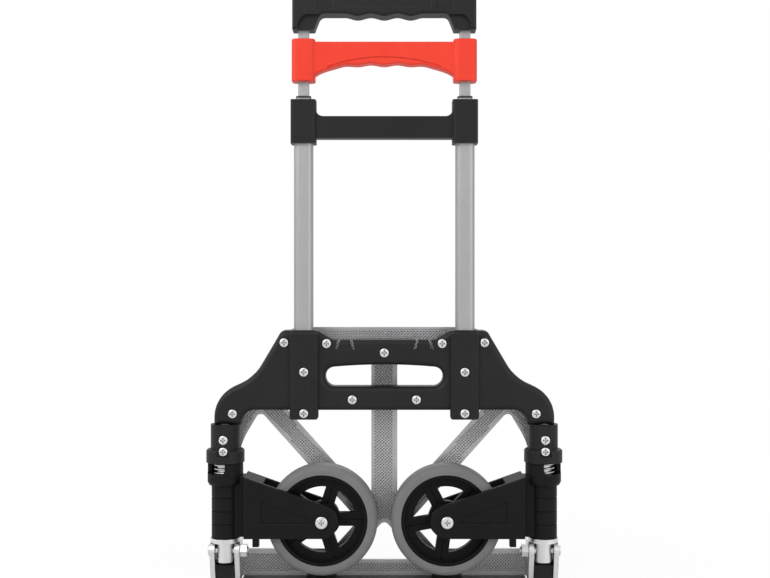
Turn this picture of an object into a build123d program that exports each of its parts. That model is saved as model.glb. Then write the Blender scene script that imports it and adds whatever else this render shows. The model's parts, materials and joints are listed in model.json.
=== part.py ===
from build123d import *
import os
from math import cos, hypot, pi, sin

# Folding hand truck, folded up and standing on its heel bar, in millimetres.
# X runs across the truck, +Z is up, +Y is the load side, and the back of the truck faces -Y.
# The origin is on the floor, midway between the two legs and in the plane of their axes.
# Pieces that come in pairs are drawn on the left, and the right one is the mirror image.

# Layout
leg_half_span = 180.0  # middle of the truck to each leg axis
rail_half_span = 91.3  # middle of the truck to each rail axis
hinge_height = 38.0  # toe plate hinge above the floor
wheel_gap = 15.0  # between the two folded wheels

# Fits
snug = 0.05  # round pieces that are fixed in each other
running_clearance = 0.08  # shafts and pins that turn in a hole, on the radius
slide_clearance = 0.3  # tubes and bushes that slide in each other, on each side
turning_gap = 0.6  # faces that turn past each other

# Wheels
wheel_radius = 62.5
wheel_width = 28.0
tyre_thickness = 11.3
tyre_edge_radius = 7.0
rim_ring_thickness = 14.0
rim_ring_width = 24.0
rim_lip = 3.5
rim_web_width = 9.0
rim_hub_radius = 17.0
rim_hub_width = 30.0
spoke_count = 5
spoke_width = 15.0
spoke_groove_width = 2.6
spoke_groove_depth = 2.0
spoke_groove_inset = 0.5  # end of a groove to the hub and to the lip
right_rim_turn = -10.0  # degrees, as the right wheel stands in the photo
bearing_wall = 3.5
axle_radius = 5.0
axle_head_radius = 7.0
axle_head_height = 3.0

# Forked wheel arms
fork_wheel_gap = 2.5  # wheel to fork plate
fork_plate = 5.5
fork_tip_radius = 18.5
fork_body_start = 23.0  # leg axis to the near side of the fork's solid body
fork_wheel_relief = 3.5  # fork body to the tyre
fork_top_rise = 69.0  # fork body, lower edge to upper edge
fork_foot_rise = 1.5  # barrel foot to the lower edge of the fork
fork_neck_depth = 20.0  # web between barrel and fork body
fork_edge = 1.0
panel_depth = 1.2  # sunk panel in each fork plate
panel_start = 42.1  # leg axis to the panel
panel_end = 96.1
panel_foot = 17.0  # lower edge of the fork to the panel
panel_rise = 25.3  # height of the panel where it starts
panel_end_rise = 6.9
panel_corner = 1.5
lug_width = 7.0
lug_depth = 9.0
lug_drop = 8.9  # lower edge of the fork to the foot of the lug
lug_start = 33.0  # leg axis to the lug under the fork

# Barrel and spring cup of the wheel arm
barrel_radius = 15.5
barrel_height = 59.5
barrel_rib_count = 3
barrel_groove = 1.6
barrel_groove_depth = 1.0
cup_radius = 20.0
cup_wall = 4.5
cup_height = 24.7
cup_floor = 4.0
cup_chamfer = 3.5
window_width = 24.0
window_depth = 12.0
window_shift = 10.0  # window centre to the leg axis, outwards

# Legs
leg_radius = 9.5
leg_wall = 2.0
leg_foot_drop = 12.4  # hinge to the lower end of the leg tube
leg_socket = 9.0  # length of leg tube held in the frame
washer_radius = 16.6
washer_thickness = 2.5
collar_radius = 16.5
collar_height = 28.2
flange_radius = 21.5
flange_height = 14.6
flange_edge = 1.5
collar_pad_width = 14.0
collar_pad_rise = 1.2  # pad proud of the collar
collar_screw_spacing = 13.1
collar_screw_drop = 16.5  # collar top to the upper collar screw

# Arm springs, round the legs between arm and collar
arm_spring_wire = 2.2
arm_spring_curls = 4
arm_spring_gap = 1.6  # inside of the spring to the leg

# Toe plate, hinge brackets and heel
plate_thickness = 3.3
plate_gap = 1.2  # folded plate to the wheel forks
plate_height = 286.8
plate_overhang = 15.0  # leg axis to the side of the plate
plate_top_half_width = 116.0
plate_knee_drop = 132.0  # top edge of the plate to the start of its upright sides
plate_corner_radius = 40.0
plate_knee_radius = 80.0  # inside of the rim, where its sides start to lean in
plate_side_bar = 26.0
plate_top_bar = 34.0
plate_foot_bar = 18.4
plate_side_foot_bar = 30.7
plate_middle_bar = 30.0
plate_upper_spoke = 24.0
plate_lower_spoke = 22.0
plate_spoke_slope = 1.115  # rise over run of the slanted bars
plate_hub_rise = 48.2  # foot of the plate to where the upper slanted bars would meet
plate_hub_inset = 2.7  # lower slanted bars below the corner of the middle bar
plate_opening_radius = 6.0
plate_mesh_margin = 3.0
plate_mesh_depth = 0.4
ear_radius = 9.6
ear_foot_back = 0.5  # leg axis to the rear corner of the ears at their foot
ear_thickness = 5.5
ear_gap = 1.8  # leg tube to each ear
bracket_base = 3.5
bracket_base_top = 8.5  # base of the bracket above the hinge
cam_block_side_gap = 0.3
hinge_pin_radius = 4.0
hinge_head_radius = 6.5
hinge_head = 2.5
hinge_nut_radius = 7.5
hinge_nut = 8.0
hinge_pin_proud = 1.5
rivet_radius = 2.5
rivet_head_radius = 4.5
rivet_head = 1.5
bracket_rivet_drop = 8.5  # hinge to the bracket rivets
bracket_rivet_spacing = 13.0
heel_thickness = 3.3
heel_back = 10.0  # heel bar behind the leg axes
heel_end_gap = 1.2  # heel bar to the hinge brackets
heel_tab_width = 34.0
heel_tab_height = 13.0
heel_tab_thickness = 2.5
heel_tab_centre = 72.0
heel_rivet_spacing = 18.0

# Frame moulding
frame_rear_depth = 13.0
frame_front_depth = 14.0
frame_wall = 3.0
frame_edge_radius = 6.5
frame_leg_outer = 11.5  # leg axis to the outer side of the frame's leg
frame_leg_inner = 19.0
crossbar_rise = 16.3  # foot of the frame to the lower edge of the crossbar
crossbar_height = 80.0
shoulder_rise = 10.0  # crossbar top to the top of the shoulders
shoulder_start = 33.3  # rail axis to where the top edge starts to rise
shoulder_end = 24.2  # rail axis to the outer end of the shoulder's top
shoulder_bend = 55.1  # rail axis to the bend of the shoulder
shoulder_bend_drop = 43.4  # crossbar top to that bend
elbow_rise = 32.9  # foot of the frame to the corner that the elbow rounds off
frame_corner_radii = (8, 8, 8, 60, 38, 0, 0, 16)  # along the outline, from mid top to mid foot
slot_width = 132.5
slot_height = 21.8
slot_arch = 2.4  # upper side of the hand slot, middle above ends
slot_rise = 27.0  # lower edge of the crossbar to the hand slot
latch_slot_width = 3.0
latch_slot_depth = 12.0
latch_slot_lean = 4.4
latch_slot_centre = 44.2
latch_tongue_width = 11.5
latch_notch_width = 25.0  # in the front shell, behind the tongue
latch_notch_depth = 13.0

# Rails
rail_width = 21.7
rail_depth = 17.0
rail_corner = 6.5
rail_wall = 1.2
rail_gap = 1.1  # between one tube and the next
least_corner = 0.6
outer_travel = 90.0
inner_travel = 165.0
rail_wheel_gap = 3.0  # pushed-in outer tube to the folded wheel
outer_tube_length = 312.75
middle_tube_length = 250.0
inner_tube_length = 318.0
bush_wall_across = 1.65  # rail bush beside the outer tube
bush_wall_deep = 1.2  # rail bush before and behind the outer tube
cover_width = 32.0
cover_thickness = 3.5
cover_height = 97.0
cover_in = 1.2  # rail axis to the middle of the cover
cover_drop = 10.0  # cover below the lower edge of the crossbar
cover_corner = 3.0
cover_edge = 1.2
cover_screw_spacing = 46.3
cover_screw_rise = 6.9
tab_inset = 0.8  # frame tab behind the cover, on each side

# Cross bracket and the bushes of the tubes
bracket_socket_width = 28.5
bracket_socket_depth = 24.0
bracket_socket_corner = 3.5
bracket_height = 49.2
bracket_bar_height = 24.8
bracket_bar_depth = 16.0
bracket_bar_rise = 5.95
bracket_bar_corner = 8.0
bracket_roof = 3.5
bush_flange = 1.5
bush_skirt = 18.0
middle_proud = 2.3  # middle tube above the cross bracket
middle_cap = 2.3
glide_height = 8.0
glide_plug = 10.0
glide_wall = 1.5

# Release grip
grip_rest_gap = 16.45  # collar of the middle tube to the grip
grip_travel = 6.0
grip_socket_width = 26.5
grip_socket_depth = 22.0
grip_socket_corner = 6.0
grip_height = 47.4
grip_bar_depth = 17.0
grip_bar_drop = 2.9  # socket top to bar top
grip_bar_foot = 19.3  # socket foot to the lower side of the bar at mid width
grip_arch_rise = 12.5  # lower side of the bar, ends to middle
grip_arch_power = 4
grip_wave = 1.0
grip_wave_length = 30.0
grip_edge = 2.0
grip_groove_width = 1.6
grip_groove_depth = 1.2
grip_groove_reach = 64.0  # mid width to the ends of the groove
grip_groove_sag = 11.0
grip_groove_rise = 7.5  # lower side of the bar to the groove at mid width
grip_pin_radius = 1.3
grip_pin_length = 20.0
grip_pin_rise = 23.7
rod_radius = 1.6
rod_head_width = 7.0
rod_head_depth = 4.6
rod_head_height = 8.0
return_wire = 0.7
return_curls = 10

# Locks at the feet of the inner tubes
lock_rest_gap = 1.0  # at least, from the glide of the middle tube to the lock block above it
lock_plug = 14.0
lock_glide = 12.0
lock_pin_radius = 2.0
lock_pin_length = 8.5
lock_travel = 3.0
rod_foot_gap = 1.0

# Top handle
handle_stop_gap = 4.3  # grip at its upper stop to the handle
handle_height = 51.0
handle_bar_rise = 17.5
handle_socket_width = 24.5
handle_depth = 13.0  # each half
handle_slant = 7.0
handle_top_radius = 14.0
handle_edge = 3.0
handle_wave = 2.9
handle_wave_length = 30.0
handle_wave_count = 3
handle_socket_hold = 22.0  # length of inner tube held in the handle
handle_wall = 3.5
handle_panel_width = 106.0
handle_panel_height = 19.0
handle_panel_depth = 0.5
handle_field_width = 18.0  # sunk field on each side of the panel
handle_field_height = 25.5
handle_field_depth = 1.5
handle_field_centre = 67.0
handle_arch_wall = 5.5  # side of the handle to the arch over its socket
handle_arch_width = 12.5
handle_arch_rise = 16.5
handle_arch_depth = 4.0
handle_screw_spread = 50.0

# Screws
screw_head_radius = 5.2
screw_head_height = 2.8
screw_head_gap = 0.5  # head to the wall of its seat
screw_dome = 1.6
screw_radius = 2.0
screw_seat = 1.3  # head sunk into the moulding
screw_boss_radius = 6.5
frame_screw_length = 20.0
short_screw_length = 4.8
cross_length = 6.0
cross_width = 1.5
cross_depth = 1.6
top_screw_drop = 15.4  # crossbar top to the middle screw
shoulder_screw_out = 21.1  # rail axis to the shoulder screw
shoulder_screw_drop = 14.0
corner_screw_in = 26.4  # rail axis to the screw at the crossbar's corner
corner_screw_drop = 5.05
slot_screw_out = 36.0  # mid width to the screws under the hand slot
slot_screw_rise = 12.0
leg_screw_in = 9.7  # leg axis to the screw above the end of the leg tube
leg_screw_rise = 12.5

# Heights and depths that follow from the sizes above
fork_inner = wheel_width / 2 + fork_wheel_gap
fork_outer = fork_inner + fork_plate
plate_front = fork_outer + plate_gap
plate_back = plate_front + plate_thickness
plate_foot = heel_thickness
plate_half_width = leg_half_span + plate_overhang
plate_top = plate_foot + plate_height
arm_reach = leg_half_span - wheel_radius - wheel_gap / 2
axle_x = -(leg_half_span - arm_reach)
axle_height = hinge_height - plate_back + wheel_radius
washer_foot = hinge_height + ear_radius + turning_gap
barrel_foot = washer_foot + 2 * washer_thickness + turning_gap
barrel_top = barrel_foot + barrel_height
cup_top = barrel_top + cup_height
flange_foot = cup_top + turning_gap
collar_foot = flange_foot + flange_height
frame_foot = collar_foot + collar_height
crossbar_foot = frame_foot + crossbar_rise
crossbar_top = crossbar_foot + crossbar_height
shoulder_top = crossbar_top + shoulder_rise
leg_foot = hinge_height - leg_foot_drop
ear_inner = leg_radius + ear_gap
ear_outer = ear_inner + ear_thickness
heel_half_width = leg_half_span - ear_outer - heel_end_gap
outer_foot = axle_height + wheel_radius + rail_wheel_gap + outer_travel
outer_top = outer_foot + outer_tube_length
bracket_top = outer_top + bush_flange + bracket_roof
bracket_foot = bracket_top - bracket_height
middle_top = bracket_top + middle_proud
middle_foot = middle_top - middle_tube_length
cover_foot = crossbar_foot - cover_drop

# The handle rests as low as the grip over the middle tubes and the lock blocks over their glides allow
grip_low = middle_top + middle_cap + grip_rest_gap
inner_low = middle_foot + glide_plug + lock_rest_gap + lock_glide
inner_over_grip = grip_height + grip_travel + handle_stop_gap + handle_socket_hold
inner_top = max(grip_low + inner_over_grip, inner_low + inner_tube_length)
inner_foot = inner_top - inner_tube_length
handle_foot = inner_top - handle_socket_hold
grip_top = handle_foot - handle_stop_gap - grip_travel
grip_foot = grip_top - grip_height
grip_pin_height = grip_foot + grip_pin_rise

# Tube sections, from the outer stage to the inner: width, depth and corner radius
stage_step = rail_wall + rail_gap
middle_width = rail_width - 2 * stage_step
middle_depth = rail_depth - 2 * stage_step
middle_corner = max(rail_corner - stage_step, least_corner)
inner_width = middle_width - 2 * stage_step
inner_depth = middle_depth - 2 * stage_step
inner_corner = max(middle_corner - stage_step, least_corner)
bush_width = rail_width + 2 * (slide_clearance + bush_wall_across)
bush_depth = rail_depth + 2 * (slide_clearance + bush_wall_deep)

rail_places = [(-rail_half_span, 0), (rail_half_span, 0)]
leg_places = [(-leg_half_span, 0), (leg_half_span, 0)]
cover_places = [(cover_in - rail_half_span, 0), (rail_half_span - cover_in, 0)]


def upright(y):
    """The plane across the truck at depth y: its own x is X, its own y is Z, and it faces back."""
    return Plane.XZ.offset(-y)


def keep(part, name):
    """Label a finished piece and write it out."""
    part.label = name
    export_step(part, f"parts/{name}.step")


def keep_pair(part, name):
    """Write a left-hand piece, and its mirror image as the right-hand piece."""
    keep(part, f"left_{name}")
    keep(mirror(part, about=Plane.YZ), f"right_{name}")


def section(width, depth, corner, grow=0.0, mode=Mode.ADD):
    """A rounded tube section, grown or shrunk on every side."""
    RectangleRounded(width + 2 * grow, depth + 2 * grow, max(corner + grow, least_corner / 2), mode=mode)


def rail_tube(width, depth, corner, foot, length):
    """A hollow rail tube on the left rail axis."""
    with BuildPart() as tube:
        with BuildSketch(Plane.XY.offset(foot)):
            with Locations((-rail_half_span, 0)):
                section(width, depth, corner)
                section(width, depth, corner, -rail_wall, Mode.SUBTRACT)
        extrude(amount=length)
    return tube.part


def cross_screw(head_radius, head_height, shank_radius, length):
    """A cross-head screw along +Y with its seat at the origin and its head behind it."""
    with BuildPart() as screw:
        with BuildSketch(upright(0)):
            Circle(head_radius)
        extrude(amount=head_height)
        fillet(screw.faces().sort_by(Axis.Y)[0].edges(), screw_dome)
        with BuildSketch(upright(0)):
            Circle(shank_radius)
        extrude(amount=-length)
        with BuildSketch(upright(-head_height)):
            Rectangle(cross_length, cross_width)
            Rectangle(cross_width, cross_length)
        extrude(amount=-cross_depth, mode=Mode.SUBTRACT)
    return screw.part


def screw_group(screw, places):
    """Copies of one screw, as separate solids."""
    with BuildPart() as group:
        with Locations(*places):
            add(screw)
    return group.part


def coil(centre_x, coil_radius, foot, height, wire, curls):
    """One unbroken spring wire, two arcs to each half turn, and the least gap between its curls."""
    rise = height / (2 * curls)
    climb = rise / hypot(rise, pi * coil_radius)
    level = (1 - climb**2) ** 0.5

    def point(step):
        angle = pi * step
        return Vector(centre_x + coil_radius * cos(angle), coil_radius * sin(angle), foot + rise * step)

    def heading(step):
        angle = pi * step
        return Vector(-level * sin(angle), level * cos(angle), climb)

    with BuildPart() as spring:
        with BuildLine() as path:
            for step in range(2 * curls):
                start, end = point(step), point(step + 1)
                start_way, end_way = heading(step), heading(step + 1)
                span = end - start
                square = 2 * (1 - start_way.dot(end_way))
                half = span.dot(start_way + end_way)
                reach = ((half**2 + square * span.dot(span)) ** 0.5 - half) / square
                joint = (start + end + (start_way - end_way) * reach) / 2
                TangentArc(start, joint, tangent=start_way)
                TangentArc(end, joint, tangent=-end_way)
        with BuildSketch(Plane(origin=point(0), z_dir=heading(0))):
            Circle(wire / 2)
        sweep(path=path.wires()[0])
    curl_point_count = 24
    trail = [point(2 * n / curl_point_count) for n in range(curls * curl_point_count + 1)]
    pairs = [(a, b) for i, a in enumerate(trail) for b in trail[i + curl_point_count // 2 :]]
    gap = min((a - b).length for a, b in pairs) - wire
    return spring.part, gap


os.makedirs("parts", exist_ok=True)


# Screw places on the back of the truck
frame_screw_places = [(0, crossbar_top - top_screw_drop)]
for side in (-1, 1):
    frame_screw_places += [
        (side * (rail_half_span + shoulder_screw_out), shoulder_top - shoulder_screw_drop),
        (side * (rail_half_span - corner_screw_in), crossbar_top - corner_screw_drop),
        (side * slot_screw_out, crossbar_foot + slot_screw_rise),
        (side * (leg_half_span - leg_screw_in), frame_foot + leg_screw_rise),
    ]
cover_screw_heights = [cover_foot + cover_screw_rise, cover_foot + cover_screw_rise + cover_screw_spacing]
cover_screw_places = [(cover_in - rail_half_span, height) for height in cover_screw_heights]
collar_screw_x = -leg_half_span
collar_screw_top = frame_foot - collar_screw_drop
collar_screw_places = [(collar_screw_x, collar_screw_top - n * collar_screw_spacing) for n in range(2)]
cover_back = -frame_rear_depth - cover_thickness
pad_back = -collar_radius - collar_pad_rise

# Frame moulding, seen from behind: its outline, and the hollows of its two shells
leg_side = leg_half_span + frame_leg_outer
leg_inside = leg_half_span - frame_leg_inner
slot_middle = crossbar_foot + slot_rise + slot_height / 2

with BuildSketch() as frame_outline:
    with BuildLine():
        FilletPolyline(
            (0, crossbar_top),
            (-(rail_half_span - shoulder_start), crossbar_top),
            (-(rail_half_span - cover_in - cover_width / 2), shoulder_top),
            (-(rail_half_span + shoulder_end), shoulder_top),
            (-(rail_half_span + shoulder_bend), crossbar_top - shoulder_bend_drop),
            (-leg_side, frame_foot + elbow_rise),
            (-leg_side, frame_foot),
            (-leg_inside, frame_foot),
            (-leg_inside, crossbar_foot),
            (0, crossbar_foot),
            radius=frame_corner_radii,
        )
        Line((0, crossbar_foot), (0, crossbar_top))
    make_face()
    mirror(about=Plane.YZ)
    for x, _ in cover_places:
        with Locations((x, crossbar_foot)):
            Rectangle(cover_width - 2 * tab_inset, 2 * (cover_drop - tab_inset))

with BuildSketch() as hand_slot:
    with Locations((0, slot_middle)):
        SlotOverall(slot_width, slot_height)
    with BuildLine():
        arch_end = (slot_width - slot_height) / 2
        arch_foot = slot_middle + slot_height / 2
        ThreePointArc((-arch_end, arch_foot), (0, arch_foot + slot_arch), (arch_end, arch_foot))
        Line((arch_end, arch_foot), (-arch_end, arch_foot))
    make_face()

with BuildSketch() as slot_wall:
    add(hand_slot.sketch)
    offset(amount=frame_wall)

with BuildSketch() as frame_pocket:
    add(frame_outline.sketch)
    offset(amount=-frame_wall)
    for x, _ in rail_places:
        with Locations((x, crossbar_foot)):
            Rectangle(bush_width + 2 * frame_wall, 4 * crossbar_height, mode=Mode.SUBTRACT)
    for x, _ in leg_places:
        with Locations((x, frame_foot)):
            Rectangle(2 * (leg_radius + frame_wall), 2 * (leg_socket + frame_wall), mode=Mode.SUBTRACT)
    add(slot_wall.sketch, mode=Mode.SUBTRACT)
    with Locations(*frame_screw_places):
        Circle(screw_boss_radius, mode=Mode.SUBTRACT)

# Two slots beside each latch tongue, which lean away from it
with BuildSketch() as latch_slots:
    for side in (-1, 1):
        for edge in (-1, 1):
            slot_top = side * latch_slot_centre + edge * latch_tongue_width / 2
            slot_foot = slot_top + edge * latch_slot_lean
            with BuildLine():
                Polyline(
                    (slot_top - latch_slot_width / 2, crossbar_top + latch_slot_width),
                    (slot_top + latch_slot_width / 2, crossbar_top + latch_slot_width),
                    (slot_foot + latch_slot_width / 2, crossbar_top - latch_slot_depth),
                    (slot_foot - latch_slot_width / 2, crossbar_top - latch_slot_depth),
                    close=True,
                )
            make_face()

# What passes through the frame: rail bushes, leg tubes and screws
with BuildPart() as frame_holes:
    with BuildSketch(Plane.XY.offset(cover_foot)):
        with Locations(*rail_places):
            Rectangle(bush_width, bush_depth)
    extrude(amount=shoulder_top - cover_foot + frame_wall)
    with BuildSketch(Plane.XY.offset(frame_foot)):
        with Locations(*leg_places):
            Circle(leg_radius + snug)
    extrude(amount=leg_socket)
    with BuildSketch(upright(-frame_rear_depth)):
        with Locations(*frame_screw_places):
            Circle(screw_radius + snug)
    extrude(amount=-(screw_seat + frame_screw_length + snug))
    with BuildSketch(upright(-frame_rear_depth)):
        for x, _ in cover_places:
            with Locations(*[(x, height) for height in cover_screw_heights]):
                Circle(screw_radius + snug)
    extrude(amount=-frame_wall)

with BuildPart() as frame_rear_shell:
    with BuildSketch(upright(-frame_rear_depth)):
        add(frame_outline.sketch)
        add(hand_slot.sketch, mode=Mode.SUBTRACT)
    extrude(amount=-frame_rear_depth)
    fillet(frame_rear_shell.faces().sort_by(Axis.Y)[0].edges(), frame_edge_radius)
    with BuildSketch(upright(0)):
        add(frame_pocket.sketch)
    extrude(amount=frame_rear_depth - frame_wall, mode=Mode.SUBTRACT)
    with BuildSketch(upright(-frame_rear_depth)):
        add(latch_slots.sketch)
    extrude(amount=-frame_rear_depth, mode=Mode.SUBTRACT)
    add(frame_holes.part, mode=Mode.SUBTRACT)
    with BuildSketch(upright(-frame_rear_depth)):
        with Locations(*frame_screw_places):
            Circle(screw_head_radius + screw_head_gap)
    extrude(amount=-screw_seat, mode=Mode.SUBTRACT)
keep(frame_rear_shell.part, "frame_rear_shell")

with BuildPart() as frame_front_shell:
    with BuildSketch(upright(0)):
        add(frame_outline.sketch)
        add(hand_slot.sketch, mode=Mode.SUBTRACT)
    extrude(amount=-frame_front_depth)
    fillet(frame_front_shell.faces().sort_by(Axis.Y)[-1].edges(), frame_edge_radius)
    with BuildSketch(upright(0)):
        add(frame_pocket.sketch)
    extrude(amount=frame_wall - frame_front_depth, mode=Mode.SUBTRACT)
    # a notch behind each latch tongue
    with BuildSketch(upright(0)):
        with Locations((-latch_slot_centre, crossbar_top), (latch_slot_centre, crossbar_top)):
            Rectangle(latch_notch_width, 2 * latch_notch_depth)
    extrude(amount=-frame_front_depth, mode=Mode.SUBTRACT)
    add(frame_holes.part, mode=Mode.SUBTRACT)
keep(frame_front_shell.part, "frame_front_shell")

with BuildPart() as rail_bush:
    with BuildSketch(Plane.XY.offset(cover_foot + tab_inset)):
        with Locations((-rail_half_span, 0)):
            Rectangle(bush_width, bush_depth)
            section(rail_width, rail_depth, rail_corner, slide_clearance, Mode.SUBTRACT)
    extrude(amount=shoulder_top - cover_foot - tab_inset)
keep_pair(rail_bush.part, "rail_bush")

with BuildPart() as rail_cover:
    with BuildSketch(upright(-frame_rear_depth)):
        with Locations((cover_in - rail_half_span, cover_foot + cover_height / 2)):
            RectangleRounded(cover_width, cover_height, cover_corner)
    extrude(amount=cover_thickness)
    fillet(rail_cover.faces().sort_by(Axis.Y)[0].edges(), cover_edge)
    with BuildSketch(upright(cover_back)):
        with Locations(*cover_screw_places):
            Circle(screw_radius + snug)
    extrude(amount=-cover_thickness, mode=Mode.SUBTRACT)
    with BuildSketch(upright(cover_back)):
        with Locations(*cover_screw_places):
            Circle(screw_head_radius + screw_head_gap)
    extrude(amount=-screw_seat, mode=Mode.SUBTRACT)
keep_pair(rail_cover.part, "rail_cover")

# Legs, with the collars, springs and washers that sit on them
with BuildPart() as leg_tube:
    with BuildSketch(Plane.XY.offset(leg_foot)):
        with Locations((-leg_half_span, 0)):
            Circle(leg_radius)
            Circle(leg_radius - leg_wall, mode=Mode.SUBTRACT)
    extrude(amount=frame_foot + leg_socket - leg_foot)
    with BuildSketch(Plane.YZ.offset(-leg_half_span - leg_radius)):
        with Locations((0, hinge_height)):
            Circle(hinge_pin_radius + running_clearance)
    extrude(amount=2 * leg_radius, mode=Mode.SUBTRACT)
keep_pair(leg_tube.part, "leg_tube")

with BuildPart() as leg_collar:
    with BuildSketch(Plane.XY.offset(flange_foot)):
        with Locations((-leg_half_span, 0)):
            Circle(flange_radius)
    extrude(amount=flange_height)
    chamfer(leg_collar.edges().filter_by(GeomType.CIRCLE).sort_by(Axis.Z)[-1], flange_edge)
    with BuildSketch(Plane.XY.offset(flange_foot)):
        with Locations((-leg_half_span, 0)):
            Circle(collar_radius)
    extrude(amount=frame_foot - flange_foot)
    # the pad that carries the two screws, let into the flange
    pad_foot = collar_screw_places[-1][1] - screw_head_radius - turning_gap
    with BuildSketch(Plane.XY.offset(pad_foot)):
        with Locations((collar_screw_x, pad_back)):
            Rectangle(collar_pad_width, 2 * (flange_radius + pad_back))
    extrude(amount=frame_foot - pad_foot, mode=Mode.SUBTRACT)
    with BuildSketch(Plane.XY.offset(pad_foot)):
        with Locations((collar_screw_x, pad_back / 2)):
            Rectangle(collar_pad_width, -pad_back)
    extrude(amount=frame_foot - collar_pad_rise - pad_foot)
    with BuildSketch(Plane.XY.offset(flange_foot)):
        with Locations((-leg_half_span, 0)):
            Circle(leg_radius + snug)
    extrude(amount=frame_foot - flange_foot, mode=Mode.SUBTRACT)
    with BuildSketch(upright(pad_back)):
        with Locations(*collar_screw_places):
            Circle(screw_radius + snug)
    extrude(amount=-(screw_seat + short_screw_length + snug), mode=Mode.SUBTRACT)
    with BuildSketch(upright(pad_back)):
        with Locations(*collar_screw_places):
            Circle(screw_head_radius + screw_head_gap)
    extrude(amount=-screw_seat, mode=Mode.SUBTRACT)
keep_pair(leg_collar.part, "leg_collar")

with BuildPart() as leg_washers:
    for n in range(2):
        with BuildSketch(Plane.XY.offset(washer_foot + n * (washer_thickness + snug))):
            with Locations(*leg_places):
                Circle(washer_radius)
                Circle(leg_radius + snug, mode=Mode.SUBTRACT)
        extrude(amount=washer_thickness)
keep(leg_washers.part, "leg_washers")

arm_coil_radius = leg_radius + arm_spring_gap + arm_spring_wire / 2
arm_coil_foot = barrel_top + cup_floor + turning_gap + arm_spring_wire / 2
arm_coil_height = flange_foot - snug - arm_spring_wire / 2 - arm_coil_foot
arm_spring, arm_curl_gap = coil(
    -leg_half_span, arm_coil_radius, arm_coil_foot, arm_coil_height, arm_spring_wire, arm_spring_curls
)
print("least gap between curls of an arm spring, mm:", round(arm_curl_gap, 2))
keep_pair(arm_spring, "arm_spring")

# Screws of the frame, the rail covers and the leg collars
long_screw = cross_screw(screw_head_radius, screw_head_height, screw_radius, frame_screw_length)
short_screw = cross_screw(screw_head_radius, screw_head_height, screw_radius, short_screw_length)
seat_depth = screw_seat - frame_rear_depth
keep(screw_group(long_screw, [(x, seat_depth, z) for x, z in frame_screw_places]), "frame_screws")
short_places = [(x, cover_back + screw_seat, z) for x, z in cover_screw_places]
short_places += [(x, pad_back + screw_seat, z) for x, z in collar_screw_places]
short_places += [(-x, y, z) for x, y, z in short_places]
keep(screw_group(short_screw, short_places), "short_screws")

# Wheel arms
fork_foot = barrel_foot + fork_foot_rise
fork_back_x = fork_body_start - leg_half_span
fork_mouth_x = axle_x - wheel_radius - fork_wheel_relief

with BuildSketch() as fork_outline:
    with BuildLine():
        Polyline(
            (fork_back_x, fork_foot),
            (axle_x, fork_foot + fork_edge),
            (fork_back_x, fork_foot + fork_top_rise),
            close=True,
        )
    with BuildLine():
        CenterArc((axle_x, axle_height), fork_tip_radius, 0, 360)
    make_hull()

with BuildSketch() as fork_panel:
    with BuildLine():
        FilletPolyline(
            (panel_start - leg_half_span, fork_foot + panel_foot),
            (panel_end - leg_half_span, fork_foot + panel_foot),
            (panel_end - leg_half_span, fork_foot + panel_foot + panel_end_rise),
            (panel_start - leg_half_span, fork_foot + panel_foot + panel_rise),
            radius=panel_corner,
            close=True,
        )
    make_face()

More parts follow.
